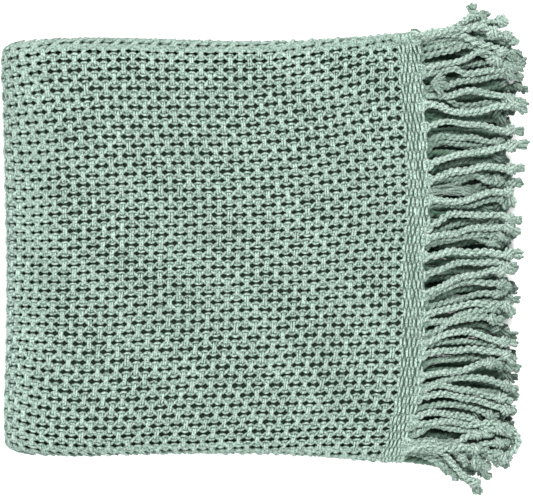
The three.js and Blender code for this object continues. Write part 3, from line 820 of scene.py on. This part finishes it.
# Layer, radius of the knot, heading of the tuft in degrees, its length, and the route: the Y where
# it leaves the band, then the X and Y of each place that it passes. A tuft of no length stands up
# round its knot as a ball.
UPPER_ROPES = [
    (2.2, 4.5, 0, 0, [-183, 164, -186, 179, -194, 187, -205]),
    (1.8, 4.5, 0, 0, [-183, 169, -184, 190, -190, 203, -197]),
    (1.4, 5, 0, 0, [-180, 169, -181, 194, -183, 226, -184]),
    (0.3, 4.5, -80, 3, [-183, 164, -185, 176, -188, 185, -194]),
    (2.5, 4.5, 0, 0, [-185, 164, -188, 178, -200, 194, -209]),
    (0.8, 4, 0, 0, [-179, 169, -181, 194, -186, 212, -195]),
    (1.1, 4.5, 0, 0, [-180, 169, -185, 192, -192, 208, -205]),
    (0.1, 6, -150, 5, [-165, 164, -161, 188, -164, 206, -164, 223, -165]
     + [234, -170, 238, -180, 233, -190, 223, -197]),
    (0.9, 5.5, -100, 5, [-168, 164, -165, 192, -168, 216, -170, 231, -176, 235, -186, 227, -197]),
    (1.5, 5.5, -10, 5, [199, 164, 201, 185, 205, 199, 205]),
    (2, 5.5, 20, 5, [201, 169, 203, 192, 210, 208, 211]),
    (2.4, 5.5, 40, 6, [203, 164, 205, 183, 210, 198, 217]),
    (3, 5, 0, 6, [197, 173, 199, 202, 195, 221, 194]),
    (1.6, 5.5, -60, 6, [195, 173, 197, 206, 199, 228, 195]),
    (0, 5.5, 110, 7.5, [201, 154, 206, 169, 207, 179, 212, 188, 218, 197, 223]),
    (1, 5, 70, 5.5, [199, 156, 203, 173, 205, 188, 209, 198, 214, 205, 219]),
    (-0.8, 6, 0, 0, [201, 164, 205, 185, 209, 202, 211, 214, 205]),
    (0.3, 6, 0, 0, [199, 164, 203, 188, 211, 206, 215, 222, 217]),
    (0.6, 5, 0, 0, [197, 169, 199, 197, 201, 216, 201, 227, 203]),
    (0.9, 3, 0, 0, [195, 169, 197, 197, 199, 222, 197, 236, 198]),
    (-0.3, 6, -20, 9.5, [199, 154, 202, 169, 205, 183, 203, 194, 199, 211, 193, 223, 187]),
    (0.8, 5.5, -10, 7.5, [189, 156, 191, 166, 193, 178, 197, 192, 197, 206, 189, 220, 178]),
    (0.5, 5.5, -5, 7.5, [183, 159, 185, 169, 188, 178, 191, 188, 194, 202, 189, 214, 180]),
    (2, 5.5, -40, 6.5, [193, 173, 189, 202, 188, 225, 187, 238, 186]),
    (0, 6, -30, 8.5, [171, 164, 174, 178, 178, 188, 182, 197, 186, 208, 188, 219, 180]),
    (1.2, 5.5, -20, 7.5, [174, 173, 174, 197, 176, 221, 180, 235, 180]),
    (0.2, 6, 10, 8.5, [166, 171, 170, 178, 171, 188, 168, 206, 169, 221, 172, 232, 173]),
    (0.7, 5.5, -10, 9.5, [152, 169, 155, 178, 158, 197, 162, 218, 166, 231, 166]),
    (2, 5.5, -20, 7.5, [150, 173, 149, 202, 153, 225, 155, 239, 156]),
    (0.4, 6.5, -14, 14.5, [145, 169, 146, 183, 149, 197, 151, 211, 149, 230, 143]),
    (1, 5.5, -10, 8.5, [149, 160, 149, 170, 142, 180, 138, 197, 137, 213, 140, 228, 139]),
    (0, 6, -30, 7.5, [137, 164, 136, 178, 131, 192, 130, 211, 135, 225, 136, 236, 137]),
    (2, 5.5, -30, 5.5, [125, 173, 124, 197, 124, 216, 125, 223, 124]),
    (0, 5.5, -12, 10.5, [117, 173, 121, 202, 118, 219, 115, 231, 114]),
    (2, 5, 0, 5.5, [110, 173, 109, 202, 110, 224, 107]),
    (0.8, 5, 5, 4.5, [102, 164, 107, 183, 107, 202, 105, 218, 102]),
    (1.2, 5, 0, 5.5, [97, 164, 102, 183, 101, 202, 98, 221, 102]),
    (0, 6.5, 3, 12.5, [81, 160, 85, 173, 88, 188, 91, 202, 94, 221, 97, 232, 99]),
    (1.6, 5, 10, 4.5, [76, 173, 81, 192, 84, 209, 85, 218, 87]),
    (0, 6, 5, 7.5, [67, 164, 70, 178, 74, 192, 77, 206, 79, 221, 79, 232, 77]),
    (1, 5.5, 5, 7.5, [63, 173, 68, 192, 72, 202, 69, 211, 65, 232, 63]),
    (1.3, 5.5, -20, 5.5, [58, 178, 63, 202, 72, 218, 68]),
    (2, 5, 20, 6.5, [51, 173, 54, 188, 57, 198, 58]),
    (0, 5.5, -80, 11.5, [48, 169, 46, 183, 47, 202, 52, 216, 55, 229, 55]),
    (0.8, 4.5, -60, 7.5, [45, 178, 42, 192, 43, 206, 47, 223, 49]),
    (2, 5, 0, 6.5, [36, 173, 35, 192, 37, 206, 39]),
    (0, 5.5, -15, 7.5, [22, 164, 29, 171, 33, 183, 34, 202, 34, 221, 33, 231, 30]),
    (1.2, 5, -10, 5.5, [17, 169, 21, 183, 25, 197, 26, 211, 26]),
    (0, 5.5, -25, 8.5, [11, 164, 14, 178, 17, 192, 20, 211, 22, 229, 21]),
    (1, 5.5, -20, 5.5, [4, 173, 10, 190, 14, 202, 11, 213, 7]),
    (0.7, 5.5, -20, 6.5, [7, 173, 12, 197, 15, 221, 14]),
    (0, 6, -3, 10.5, [-6, 169, -2, 188, -1, 206, -2, 219, -3, 229, -3]),
    (0.2, 5.5, -5, 8.5, [-25, 164, -17, 183, -12, 202, -11, 218, -12, 227, -15]),
    (1.6, 5.5, 0, 5.5, [-18, 173, -20, 202, -18, 217, -20]),
    (0, 6, 2, 8.5, [-43, 164, -34, 178, -27, 197, -23, 211, -19, 223, -19]),
    (0.6, 5.5, -30, 7.5, [-49, 164, -37, 188, -30, 206, -30, 222, -31]),
    (1.8, 5, 0, 6.5, [-52, 173, -40, 202, -35, 224, -38]),
    (0.8, 5, 10, 5.5, [-56, 173, -48, 192, -44, 206, -41, 219, -41]),
    (1.4, 5.5, 0, 7.5, [-58, 183, -51, 211, -47, 230, -46]),
    (0, 5.5, -50, 7.5, [-62, 173, -54, 192, -51, 206, -50, 221, -51, 227, -53]),
    (0.5, 4.5, -15, 4.5, [-68, 168, -67, 183, -61, 202, -56, 215, -55]),
    (0.3, 5.5, -10, 7.5, [-83, 160, -76, 170, -68, 185, -66, 204, -62, 214, -65]),
    (1.5, 5.5, -20, 5.5, [-79, 173, -73, 202, -71, 216, -75]),
    (0, 5.5, -10, 10.5, [-90, 157, -84, 169, -78, 188, -77, 202, -80, 216, -84, 225, -86]),
    (0.8, 4.5, -10, 5.5, [-93, 156, -89, 173, -85, 202, -88, 214, -90]),
    (0, 5.5, -40, 8.5, [-98, 159, -96, 173, -94, 202, -94, 219, -96, 226, -99]),
    (1, 5.5, -15, 7.5, [-108, 173, -102, 202, -103, 219, -107, 230, -110]),
    (0, 5.5, -8, 9.5, [-119, 169, -115, 188, -112, 202, -108, 212, -106]),
    (2, 5.5, -10, 7.5, [-120, 173, -116, 202, -115, 228, -119]),
    (0.5, 5.5, -30, 8.5, [-129, 164, -124, 183, -120, 197, -120, 211, -123, 227, -128]),
    (0.2, 5.5, -25, 8.5, [-133, 156, -128, 169, -128, 183, -131, 206, -136, 222, -140]),
    (1.4, 5.5, -30, 8.5, [-134, 173, -136, 202, -134, 229, -134]),
    (0, 5.5, -5, 5.5, [-140, 154, -136, 169, -136, 183, -138, 202, -143, 218, -147, 227, -151]),
    (0.7, 5, -20, 5.5, [-150, 164, -145, 183, -147, 202, -150, 211, -156]),
    (1.6, 5, -20, 5.5, [-156, 164, -153, 183, -153, 198, -156]),
    (0, 6, -25, 8.5, [-159, 150, -154, 164, -153, 183, -156, 194, -160, 206, -167, 221, -169]),
    (0.5, 5, 0, 5.5, [-176, 147, -170, 156, -165, 173, -167, 190, -171, 207, -173]),
    (2, 5, -10, 5.5, [-175, 164, -175, 188, -176, 211, -180]),
    (0, 5.5, 0, 10.5, [-181, 154, -182, 170, -184, 179, -182, 188, -177, 199, -174]),
    (0.4, 5.5, 5, 5.5, [-183, 164, -186, 178, -188, 192, -186, 206, -184, 221, -182]),
    (-0.7, 5.5, -88, 19, [-185, 150, -185, 169, -186, 185, -186, 197, -188]),
    (0.5, 4.5, -60, 6.5, [-186, 154, -187, 173, -189, 184, -196]),
    (0.4, 5.5, -60, 7.5, [-187, 173, -190, 202, -189, 219, -193]),
    (-0.2, 5.5, -75, 7.5, [-188, 143, -186, 154, -187, 164, -190, 173, -198]
     + [181, -206, 188, -214, 198, -220]),
    (3.2, 5, 0, 5.5, [147, 173, 143, 202, 141, 222, 140]),
    (3.2, 5, 0, 5.5, [-104, 158, -106, 173, -109, 202, -111, 222, -112]),
    (3.2, 5, 0, 5.5, [-124, 173, -127, 202, -129, 220, -131]),
    (3.0, 4.5, 0, 0, [-180, 165, -187, 180, -191, 190, -197]),
    (1.5, 5.5, -35, 6.5, [-188, 164, -193, 190, -203, 205, -210]),
    (1, 4.5, -50, 5.5, [-192, 137, -190, 149, -193, 159, -198, 168, -205]),
    (1, 4.5, -60, 4, [-193, 140, -190, 156, -193, 169, -201, 177, -211]),
    (2, 4.5, -70, 4.5, [-194, 134, -197, 150, -199, 173, -207, 197, -222]),
]

# The hidden layers: their ropes' number, first and last place, shift from layer to layer, reach,
# and the ranges of their knots' radius and of their tufts' heading and length.
LOWER_ROPES = {
    "count": 24,
    "front": -190.0,
    "back": 201.0,
    "middle_layer": 3.5,
    "offset": 4.25,
    "bends": (0.33, 0.67, 1.0),
    "jitter": 1.3,
    "reach": 222.0,
    "stray": 6.0,
    "knot": (4.5, 6),
    "heading": (-50, 50),
    "length": (6, 9),
    "seed": 30,
}


def lower_ropes(layer):
    """Evenly spread ropes of a hidden layer, in rows like the upper ones."""
    rng = np.random.default_rng(LOWER_ROPES["seed"] + layer)
    front, back = LOWER_ROPES["front"], LOWER_ROPES["back"]
    rows = []
    for place in np.linspace(front, back, LOWER_ROPES["count"]):
        shift = LOWER_ROPES["offset"] * (layer - LOWER_ROPES["middle_layer"])
        root = min(max(place + shift, front), back)
        reach = LOWER_ROPES["reach"] + rng.uniform(-1, 1) * LOWER_ROPES["stray"]
        route = [root]
        for part in LOWER_ROPES["bends"]:
            out = BAND_EDGE + (reach - BAND_EDGE) * part
            route.extend([out, root + rng.normal() * LOWER_ROPES["jitter"]])
        knot, heading, length = (rng.uniform(*LOWER_ROPES[key]) for key in ("knot", "heading", "length"))
        rows.append((layer, knot, heading, length, route))
    return rows


def strand_height(layer, out, share):
    """Height of a layer's strands at a distance out from the band."""
    middle = (STRAND_LAYERS - 1) / 2
    root_level = (packet_level(3) + packet_level(2)) / 2 * share
    landing = STRAND_REST + middle * TIP_SPACING
    fan = smoothstep(out, 0, FANNED_AT)
    near = LAYER_PITCH * share * (1 - fan) + FREE_SPACING * fan
    spread = smoothstep(out, FANNED_AT, LANDED_AT)
    spacing = near * (1 - spread) + TIP_SPACING * spread
    fall = smoothstep(out, 0, LANDED_AT)
    return root_level * (1 - fall) + landing * fall + (middle - layer) * spacing


def smooth_through(points, part):
    """Points on a smooth curve through others, at parts of its length."""
    points = np.asarray(points, float)
    ends = np.vstack([2 * points[0] - points[1], points, 2 * points[-1] - points[-2]])
    place = np.asarray(part) * (len(points) - 1)
    index = np.clip(np.floor(place).astype(int), 0, len(points) - 2)
    t = (place - index)[:, None]
    a, b, c, d = (ends[index + step] for step in range(4))
    return 0.5 * (
        2 * b
        + (c - a) * t
        + (2 * a - 5 * b + 4 * c - d) * t**2
        + (3 * b - a - 3 * c + d) * t**3
    )


def resample(line, step):
    """The same line with points at even distances, and those distances."""
    lengths = np.linalg.norm(np.diff(line, axis=0), axis=1)
    distance = np.concatenate([[0], np.cumsum(lengths)])
    even_distance = even(0, distance[-1], step)
    columns = [np.interp(even_distance, distance, line[:, axis]) for axis in range(3)]
    return np.column_stack(columns), even_distance


def rope_line(route, layer, setback, step):
    """Centre line of a rope from inside its band to its knot, and distances along it."""
    root = route[0]
    band = float(read_table(END_EDGES, "y", "band", np.array(root, float))) - setback
    corners = np.reshape([band, *route], (-1, 2))
    depth = FOLD_EDGES["back"][-1] if root > 0 else -FOLD_EDGES["front"][-1]
    share = float(height_share(BAND_EDGE, root * HALF_DEPTH / depth))
    plan = smooth_through(corners, np.linspace(0, 1, ROUTE_STEPS))
    plan = np.vstack([[plan[0, 0] - ROOT_DEPTH, root], plan])
    height = strand_height(layer, np.clip(plan[:, 0] - band, 0, None), share)
    return resample(np.column_stack([plan, np.maximum(height, STRAND_REST)]), step)


def line_frame(line):
    """Directions along a line, level across it, and up."""
    ahead = np.gradient(line, axis=0)
    ahead /= np.linalg.norm(ahead, axis=1)[:, None]
    across = np.column_stack([-ahead[:, 1], ahead[:, 0], np.zeros(len(line))])
    across /= np.linalg.norm(across, axis=1)[:, None]
    return ahead, across, np.cross(ahead, across)


def with_radius(places, radius):
    """A run of places with a radius at each."""
    return np.column_stack([places, np.broadcast_to(radius, len(places))])


ROPE = {"twist": 11.4, "helix": 1.5, "root": 4.0, "gather": 8.0, "fan": 8.5, "core": (0.6, 3.5)}

# Ranges by which one rope differs from the next, and sizes and lengths of its sway and of the
# surges in its twist.
ROPE_VARIES = {
    "twist": (0.85, 1.25),
    "helix": (0.85, 1.1),
    "thick": (0.92, 1.12),
    "phase": (0, 6),
    "sway": 0.7,
    "sway_length": (5, 8),
    "surge": 0.8,
    "surge_length": (9, 14),
}

# Ropes that show have two yarns to a ply, those below have one. Each kind also has its own steps
# along the rope and round the knot, and its number of cut ends.
FINE = {"step": 1.5, "twist": 14.0, "helix": 0.85, "yarns": 2, "radius": 1.7, "knot_steps": 13, "ends": 9}
PLAIN = {"step": 2.6, "twist": 14.0, "helix": 0.0, "yarns": 1, "radius": 2.5, "knot_steps": 9, "ends": 5}


def rope_yarns(line, distance, rng, kind):
    """Yarns of a two-ply rope that leave the band side by side and twist together."""
    ahead, across, up = line_frame(line)
    twist = ROPE["twist"] * rng.uniform(*ROPE_VARIES["twist"])
    helix = ROPE["helix"] * rng.uniform(*ROPE_VARIES["helix"])
    thick = kind["radius"] * rng.uniform(*ROPE_VARIES["thick"])
    sway = rng.uniform(*ROPE_VARIES["phase"]) + distance / rng.uniform(*ROPE_VARIES["sway_length"])
    line = line + across * (ROPE_VARIES["sway"] * np.sin(sway))[:, None]
    turned = 2 * math.pi * distance / twist + rng.uniform(0, 2 * math.pi)
    surge = distance / rng.uniform(*ROPE_VARIES["surge_length"]) + rng.uniform(*ROPE_VARIES["phase"])
    turned = turned + ROPE_VARIES["surge"] * np.sin(surge)
    gathered = smoothstep(distance, ROPE["root"], ROPE["root"] + ROPE["gather"])
    offsets = []
    for ply in range(2):
        angle = turned + math.pi * ply
        for yarn in range(kind["yarns"]):
            own = 2 * math.pi * (yarn / kind["yarns"] - distance / kind["twist"])
            side = helix * np.cos(angle) + kind["helix"] * np.cos(own)
            rise = -helix * np.sin(angle) - kind["helix"] * np.sin(own)
            offsets.append((side, rise))
    settled = int(np.searchsorted(distance, ROPE["root"] + ROPE["gather"]))
    order = np.argsort([side[settled] for side, rise in offsets])
    spots = np.linspace(-0.5, 0.5, len(offsets)) * ROPE["fan"]
    runs = []
    for spot, index in zip(spots, order):
        side, rise = offsets[index]
        side = spot * (1 - gathered) + side * gathered
        rise = rise * gathered
        places = line + across * side[:, None] + up * rise[:, None]
        runs.append(with_radius(places, thick))
    return runs


KNOT = {
    "yarn_radius": 1.4,
    "yarn_pitch": 2.9,
    "least_ring": 1.0,
    "flatness": 0.9,
    "tuck": 0.3,
    "tilt": (0.7, 1.2),
    "turn": (-0.7, 0.7),
    "core": np.array([0.92, 1.2]),
}
KNOT_LOOPS = [
    {"turns": 1.05, "yarns": 3, "tilt": 0.2, "shift": 0.0, "size": 1.2},
    {"turns": 0.6, "yarns": 2, "tilt": 0.9, "shift": 0.3, "size": 1.42},
]


def knot_yarns(centre, directions, radius, rng, steps):
    """The loops of an overhand knot, each of yarns side by side, drawn into a ball."""
    ahead, across, up = directions
    part = np.linspace(0, 1, steps)
    tuck = np.sin(np.pi * part) ** KNOT["tuck"]
    runs = []
    for loop in KNOT_LOOPS:
        tilt = loop["tilt"] * rng.uniform(*KNOT["tilt"]) * rng.choice([-1, 1])
        pole = ahead * math.cos(tilt) - across * math.sin(tilt)
        level = across * math.cos(tilt) + ahead * math.sin(tilt)
        turned = math.pi / 2 + rng.uniform(*KNOT["turn"]) + 2 * math.pi * loop["turns"] * (part - 0.5)
        ball = radius * loop["size"] - KNOT["yarn_radius"]
        for yarn in range(loop["yarns"]):
            shift = loop["shift"] + (yarn - (loop["yarns"] - 1) / 2) * KNOT["yarn_pitch"]
            ring = math.sqrt(max(ball * ball - shift * shift, KNOT["least_ring"])) * tuck
            side = level * (ring * np.cos(turned))[:, None]
            rise = up * (KNOT["flatness"] * ring * np.sin(turned))[:, None]
            runs.append(with_radius(centre + pole * shift + side + rise, KNOT["yarn_radius"]))
    return runs


# Cut ends stand in a spiral of seeds. They open round a knot or past it, and each swells towards
# its round tip.
GOLDEN_ANGLE = 2.39996
BALL = {
    "yarns": 15,
    "size": 1.3,
    "radius": 1.9,
    "cap": 1.9,
    "flatness": 0.8,
    "tilt": (-0.1, 0.1),
    "angle": (-0.25, 0.25),
    "reach": (0.85, 1.1),
    "thick": (0.8, 1.15),
    "inner_core": 0.3,
}
TUFT = {
    "radius": 1.6,
    "width": 4.2,
    "flatness": 0.85,
    "waist": 0.35,
    "shown": 0.75,
    "start": 0.55,
    "droop": (-0.35, 0.1),
    "opening": (0.5, 0.75),
    "widths": (0.8, 1.15),
    "angle": (-0.3, 0.3),
    "reach": (0.85, 1.1),
    "reach_by_ring": (1.1, 0.3),
    "stray": {"side": 1.2, "rise": 0.8},
    "thick": (0.8, 1.1),
    "core": (0.2, 1.8),
}
CUT_END = {
    "part": np.array([0, 0.4, 0.7, 0.88, 0.97, 1]),
    "radius": np.array([0.8, 1.0, 1.1, 1.0, 0.7, 0.3]),
}


def ball_yarns(centre, size, rng):
    """Cut ends that stand up round a knot, so that it shows as a ball of round tips."""
    part = CUT_END["part"]
    profile = BALL["radius"] * CUT_END["radius"]
    runs = []
    for yarn in range(BALL["yarns"]):
        tilt = BALL["cap"] * math.sqrt((yarn + 0.5) / BALL["yarns"]) + rng.uniform(*BALL["tilt"])
        angle = yarn * GOLDEN_ANGLE + rng.uniform(*BALL["angle"])
        level = math.sin(tilt)
        rise = BALL["flatness"] * math.cos(tilt)
        out = np.array([level * math.cos(angle), level * math.sin(angle), rise])
        places = centre + out * (size * rng.uniform(*BALL["reach"]) * part)[:, None]
        runs.append(with_radius(places, profile * rng.uniform(*BALL["thick"])))
    return runs


def tuft_yarns(start, heading, length, rng, yarns):
    """The cut ends past a knot: thick soft yarns with round tips that open like a bud."""
    ahead = np.array([math.cos(heading), math.sin(heading), rng.uniform(*TUFT["droop"])])
    across = np.array([-math.sin(heading), math.cos(heading), 0.0])
    up = np.cross(ahead, across)
    part = CUT_END["part"]
    profile = TUFT["radius"] * CUT_END["radius"]
    opening = rng.uniform(*TUFT["opening"]) * math.pi
    width = TUFT["width"] * rng.uniform(*TUFT["widths"])
    longest, shorter = TUFT["reach_by_ring"]
    runs = []
    for yarn in range(yarns):
        ring = math.sqrt((yarn + 0.5) / yarns)
        angle = yarn * GOLDEN_ANGLE + rng.uniform(*TUFT["angle"])
        swell = ring * width * (TUFT["waist"] + (1 - TUFT["waist"]) * np.sin(opening * part))
        reach = length * rng.uniform(*TUFT["reach"]) * (longest - shorter * ring**2)
        side = swell * math.cos(angle) + rng.normal(0, TUFT["stray"]["side"]) * part**2
        rise = TUFT["flatness"] * swell * math.sin(angle) + rng.normal(0, TUFT["stray"]["rise"]) * part**2
        places = start + ahead * (reach * part)[:, None] + across * side[:, None] + up * rise[:, None]
        runs.append(with_radius(places, profile * rng.uniform(*TUFT["thick"])))
    return runs


# A cut bunch that fans out by the band: where its yarns part, and how they open from there.
FAN = {
    "route": [157, 150, 157, 154.5, 157.5],
    "layer": -0.5,
    "headings": (-52, 44),
    "yarns": 11,
    "length": 16.0,
    "radius": 1.1,
    "dome": 2.6,
    "dome_turn": 0.8,
    "stagger": 0.55,
    "jitter": 2,
    "reach": (0.88, 1.05),
    "thick": (0.9, 1.1),
    "core": (0.1, 1.3),
}


def fan_yarns(line, rng):
    """Cut yarns that open from one point like the ribs of a fan."""
    part = CUT_END["part"]
    profile = FAN["radius"] * CUT_END["radius"]
    runs = []
    for yarn, heading in enumerate(np.linspace(*FAN["headings"], FAN["yarns"])):
        turn = math.radians(heading + rng.normal(0, FAN["jitter"]))
        reach = FAN["length"] * rng.uniform(*FAN["reach"])
        out = np.column_stack([np.cos(turn) * part, np.sin(turn) * part, np.zeros(len(part))])
        places = line[-1] + reach * out
        dome = FAN["dome"] * np.sin(math.pi * FAN["dome_turn"] * part)
        places[:, 2] += dome + FAN["stagger"] * (-1) ** yarn
        runs.append(with_radius(places, profile * rng.uniform(*FAN["thick"])))
    return runs


# Untwisted bundles that came undone: layer, width at each end, yarns, and the route as above.
LOCKS = [
    (0.5, 6, 9, 14, [54, 168, 57, 183, 56, 198, 51]),
]
LOCK = {
    "radius": 0.75,
    "jitter": 0.05,
    "bulge": 2.0,
    "waves": 1.5,
    "phase": (0, 6),
    "turns": (4, 12),
    "cut_short": (0, 3),
    "core": (0.0, 0.9),
}


def lock_yarns(line, widths, yarns, rng):
    """Yarns that lie loosely side by side along a line."""
    ahead, across, up = line_frame(line)
    part = np.linspace(0, 1, len(line))
    width = widths[0] + (widths[1] - widths[0]) * part
    runs = []
    for yarn in range(yarns):
        spot = yarn / (yarns - 1) - 0.5 + rng.normal(0, LOCK["jitter"])
        turns = rng.uniform(*LOCK["phase"]) + rng.uniform(*LOCK["turns"]) * part
        wave = LOCK["waves"] * np.sin(turns)
        rise = LOCK["bulge"] * (1 - 4 * spot * spot) + wave
        places = line + across * (spot * width + wave)[:, None] + up * rise[:, None]
        keep = len(line) - int(rng.integers(*LOCK["cut_short"]))
        runs.append(with_radius(places, LOCK["radius"])[:keep])
    return runs


# The ropes below are painted in the shade of those above, their knots and cut ends less so. Near
# the band the ropes of the second layer are painted in the shade of the first. The middle of a rope,
# a knot or a tuft is painted darker than its surface, and the yarns of a tuft or of a loose bundle
# differ.
LAYER_SHADE = {"layers": (0, 1, 2, 3), "light": (1.0, 0.71, 0.26, 0.12), "ends": 0.42}
ROOT_SHADE = {"share": 0.5, "reach": (6.0, 30.0)}
CORE_LIGHT = 0.3
LOOSE_LIGHT = (0.5, 1.0)
TUFT_LIGHT = {"inner": 0.5, "yarn": (0.65, 1.0)}


def shade_by_cores(mesh, cores):
    """Stores painted shade on each vertex: darker the nearer it lies to the middle of its rope, knot or
    tuft, times the painted light noted there.
    """
    tree = KDTree(len(cores))
    for index, core in enumerate(cores):
        tree.insert(core[:3], index)
    tree.balance()
    values = []
    for vertex in mesh.vertices:
        spot, index, away = tree.find(vertex.co)
        inner, outer, light = cores[index][3:]
        part = min(max((away - inner) / (outer - inner), 0.0), 1.0)
        values.append(light * (CORE_LIGHT + (1 - CORE_LIGHT) * part))
    store_painted_light(mesh, values)


def add_cores(cores, places, limits, light):
    """Notes the middle of a rope, knot or tuft, from which its painted shade is measured, with the
    painted light there.
    """
    lights = np.broadcast_to(light, len(places))
    cores.extend((*place, *limits, shade) for place, shade in zip(places, lights))


def add_loose(runs, cores, yarns, core, rng):
    """Adds loose yarns to those of a piece, each in a light of its own."""
    runs += yarns
    for run in yarns:
        add_cores(cores, run[:, :3], core, rng.uniform(*LOOSE_LIGHT))


def fringe_piece(name, rows, setback, kind, seed, locks=()):
    """Ropes, knots and frayed ends of some layers of the fringe, in one mesh."""
    rng = np.random.default_rng(seed)
    runs, cores = [], []
    if locks:
        line, distance = rope_line(FAN["route"], FAN["layer"], setback, kind["step"])
        add_loose(runs, cores, fan_yarns(line, rng), FAN["core"], rng)
    for layer, start, end, yarns, route in locks:
        line, distance = rope_line(route, layer, setback, kind["step"])
        add_loose(runs, cores, lock_yarns(line, (start, end), yarns, rng), LOCK["core"], rng)
    for layer, knot, heading, length, route in rows:
        # Painted shade: the lower layers are darker, their knots and cut ends less so, and the second
        # layer is darker near the band.
        light = float(np.interp(layer, LAYER_SHADE["layers"], LAYER_SHADE["light"]))
        line, distance = rope_line(route, layer, setback, kind["step"])
        runs += rope_yarns(line, distance, rng, kind)
        root_shade = 1 - smoothstep(distance, *ROOT_SHADE["reach"])
        root_shade *= ROOT_SHADE["share"] * min(max(layer, 0), 1)
        add_cores(cores, line, ROPE["core"], light * (1 - root_shade))
        centre = line[-1]
        light += LAYER_SHADE["ends"] * (1 - light)
        directions = [direction[-1] for direction in line_frame(line)]
        runs += knot_yarns(centre, directions, knot, rng, kind["knot_steps"])
        add_cores(cores, [centre], KNOT["core"] * knot, light)
        if length == 0:
            size = BALL["size"] * knot
            runs += ball_yarns(centre, size, rng)
            add_cores(cores, [centre], (BALL["inner_core"] * size, size), light)
            continue
        turn = math.radians(heading)
        facing = np.array([math.cos(turn), math.sin(turn), 0.0])
        start = centre + facing * TUFT["start"] * knot
        reach = TUFT["shown"] * length + (1 - TUFT["start"]) * knot
        tuft = tuft_yarns(start, turn, reach, rng, kind["ends"])
        runs += tuft
        for yarn, run in enumerate(tuft):
            out = TUFT_LIGHT["inner"] + (1 - TUFT_LIGHT["inner"]) * math.sqrt((yarn + 1) / len(tuft))
            add_cores(cores, run[:, :3], TUFT["core"], light * out * rng.uniform(*TUFT_LIGHT["yarn"]))
    for run in runs:
        run[:, 2] = np.maximum(run[:, 2], run[:, 3])
    mesh = sweep(name, runs, sides=4)
    shade_by_cores(mesh, cores)
    place_mesh(mesh, read_spots(mesh))
    mesh.materials.append(fringe_yarn)
    piece = add_object(name, mesh)
    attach(piece, "root")


ROPE_COLOUR = "#BAD0C4"
ROPE_DEEP = "#A4BAAE"
TOP_LAYERS = 0.4
SECOND_LAYERS = 1.35
fringe_yarn = cotton("carded cotton rope, pale sage", ROPE_COLOUR, ROPE_DEEP, twist_turns=40)
top_rows = [row for row in UPPER_ROPES if row[0] < TOP_LAYERS]
fringe_piece("top_ropes", top_rows, 0, FINE, seed=21, locks=LOCKS)
second_rows = [row for row in UPPER_ROPES if TOP_LAYERS <= row[0] < SECOND_LAYERS]
fringe_piece("second_ropes", second_rows, 0, FINE, seed=22)
third_rows = [row for row in UPPER_ROPES if row[0] >= SECOND_LAYERS] + lower_ropes(2)
fringe_piece("third_ropes", third_rows, 0, PLAIN, seed=23)
lower_rows = [row for layer in (3, 4, 5) for row in lower_ropes(layer)]
fringe_piece("lower_ropes", lower_rows, LOWER_END_SETBACK, PLAIN, seed=24)
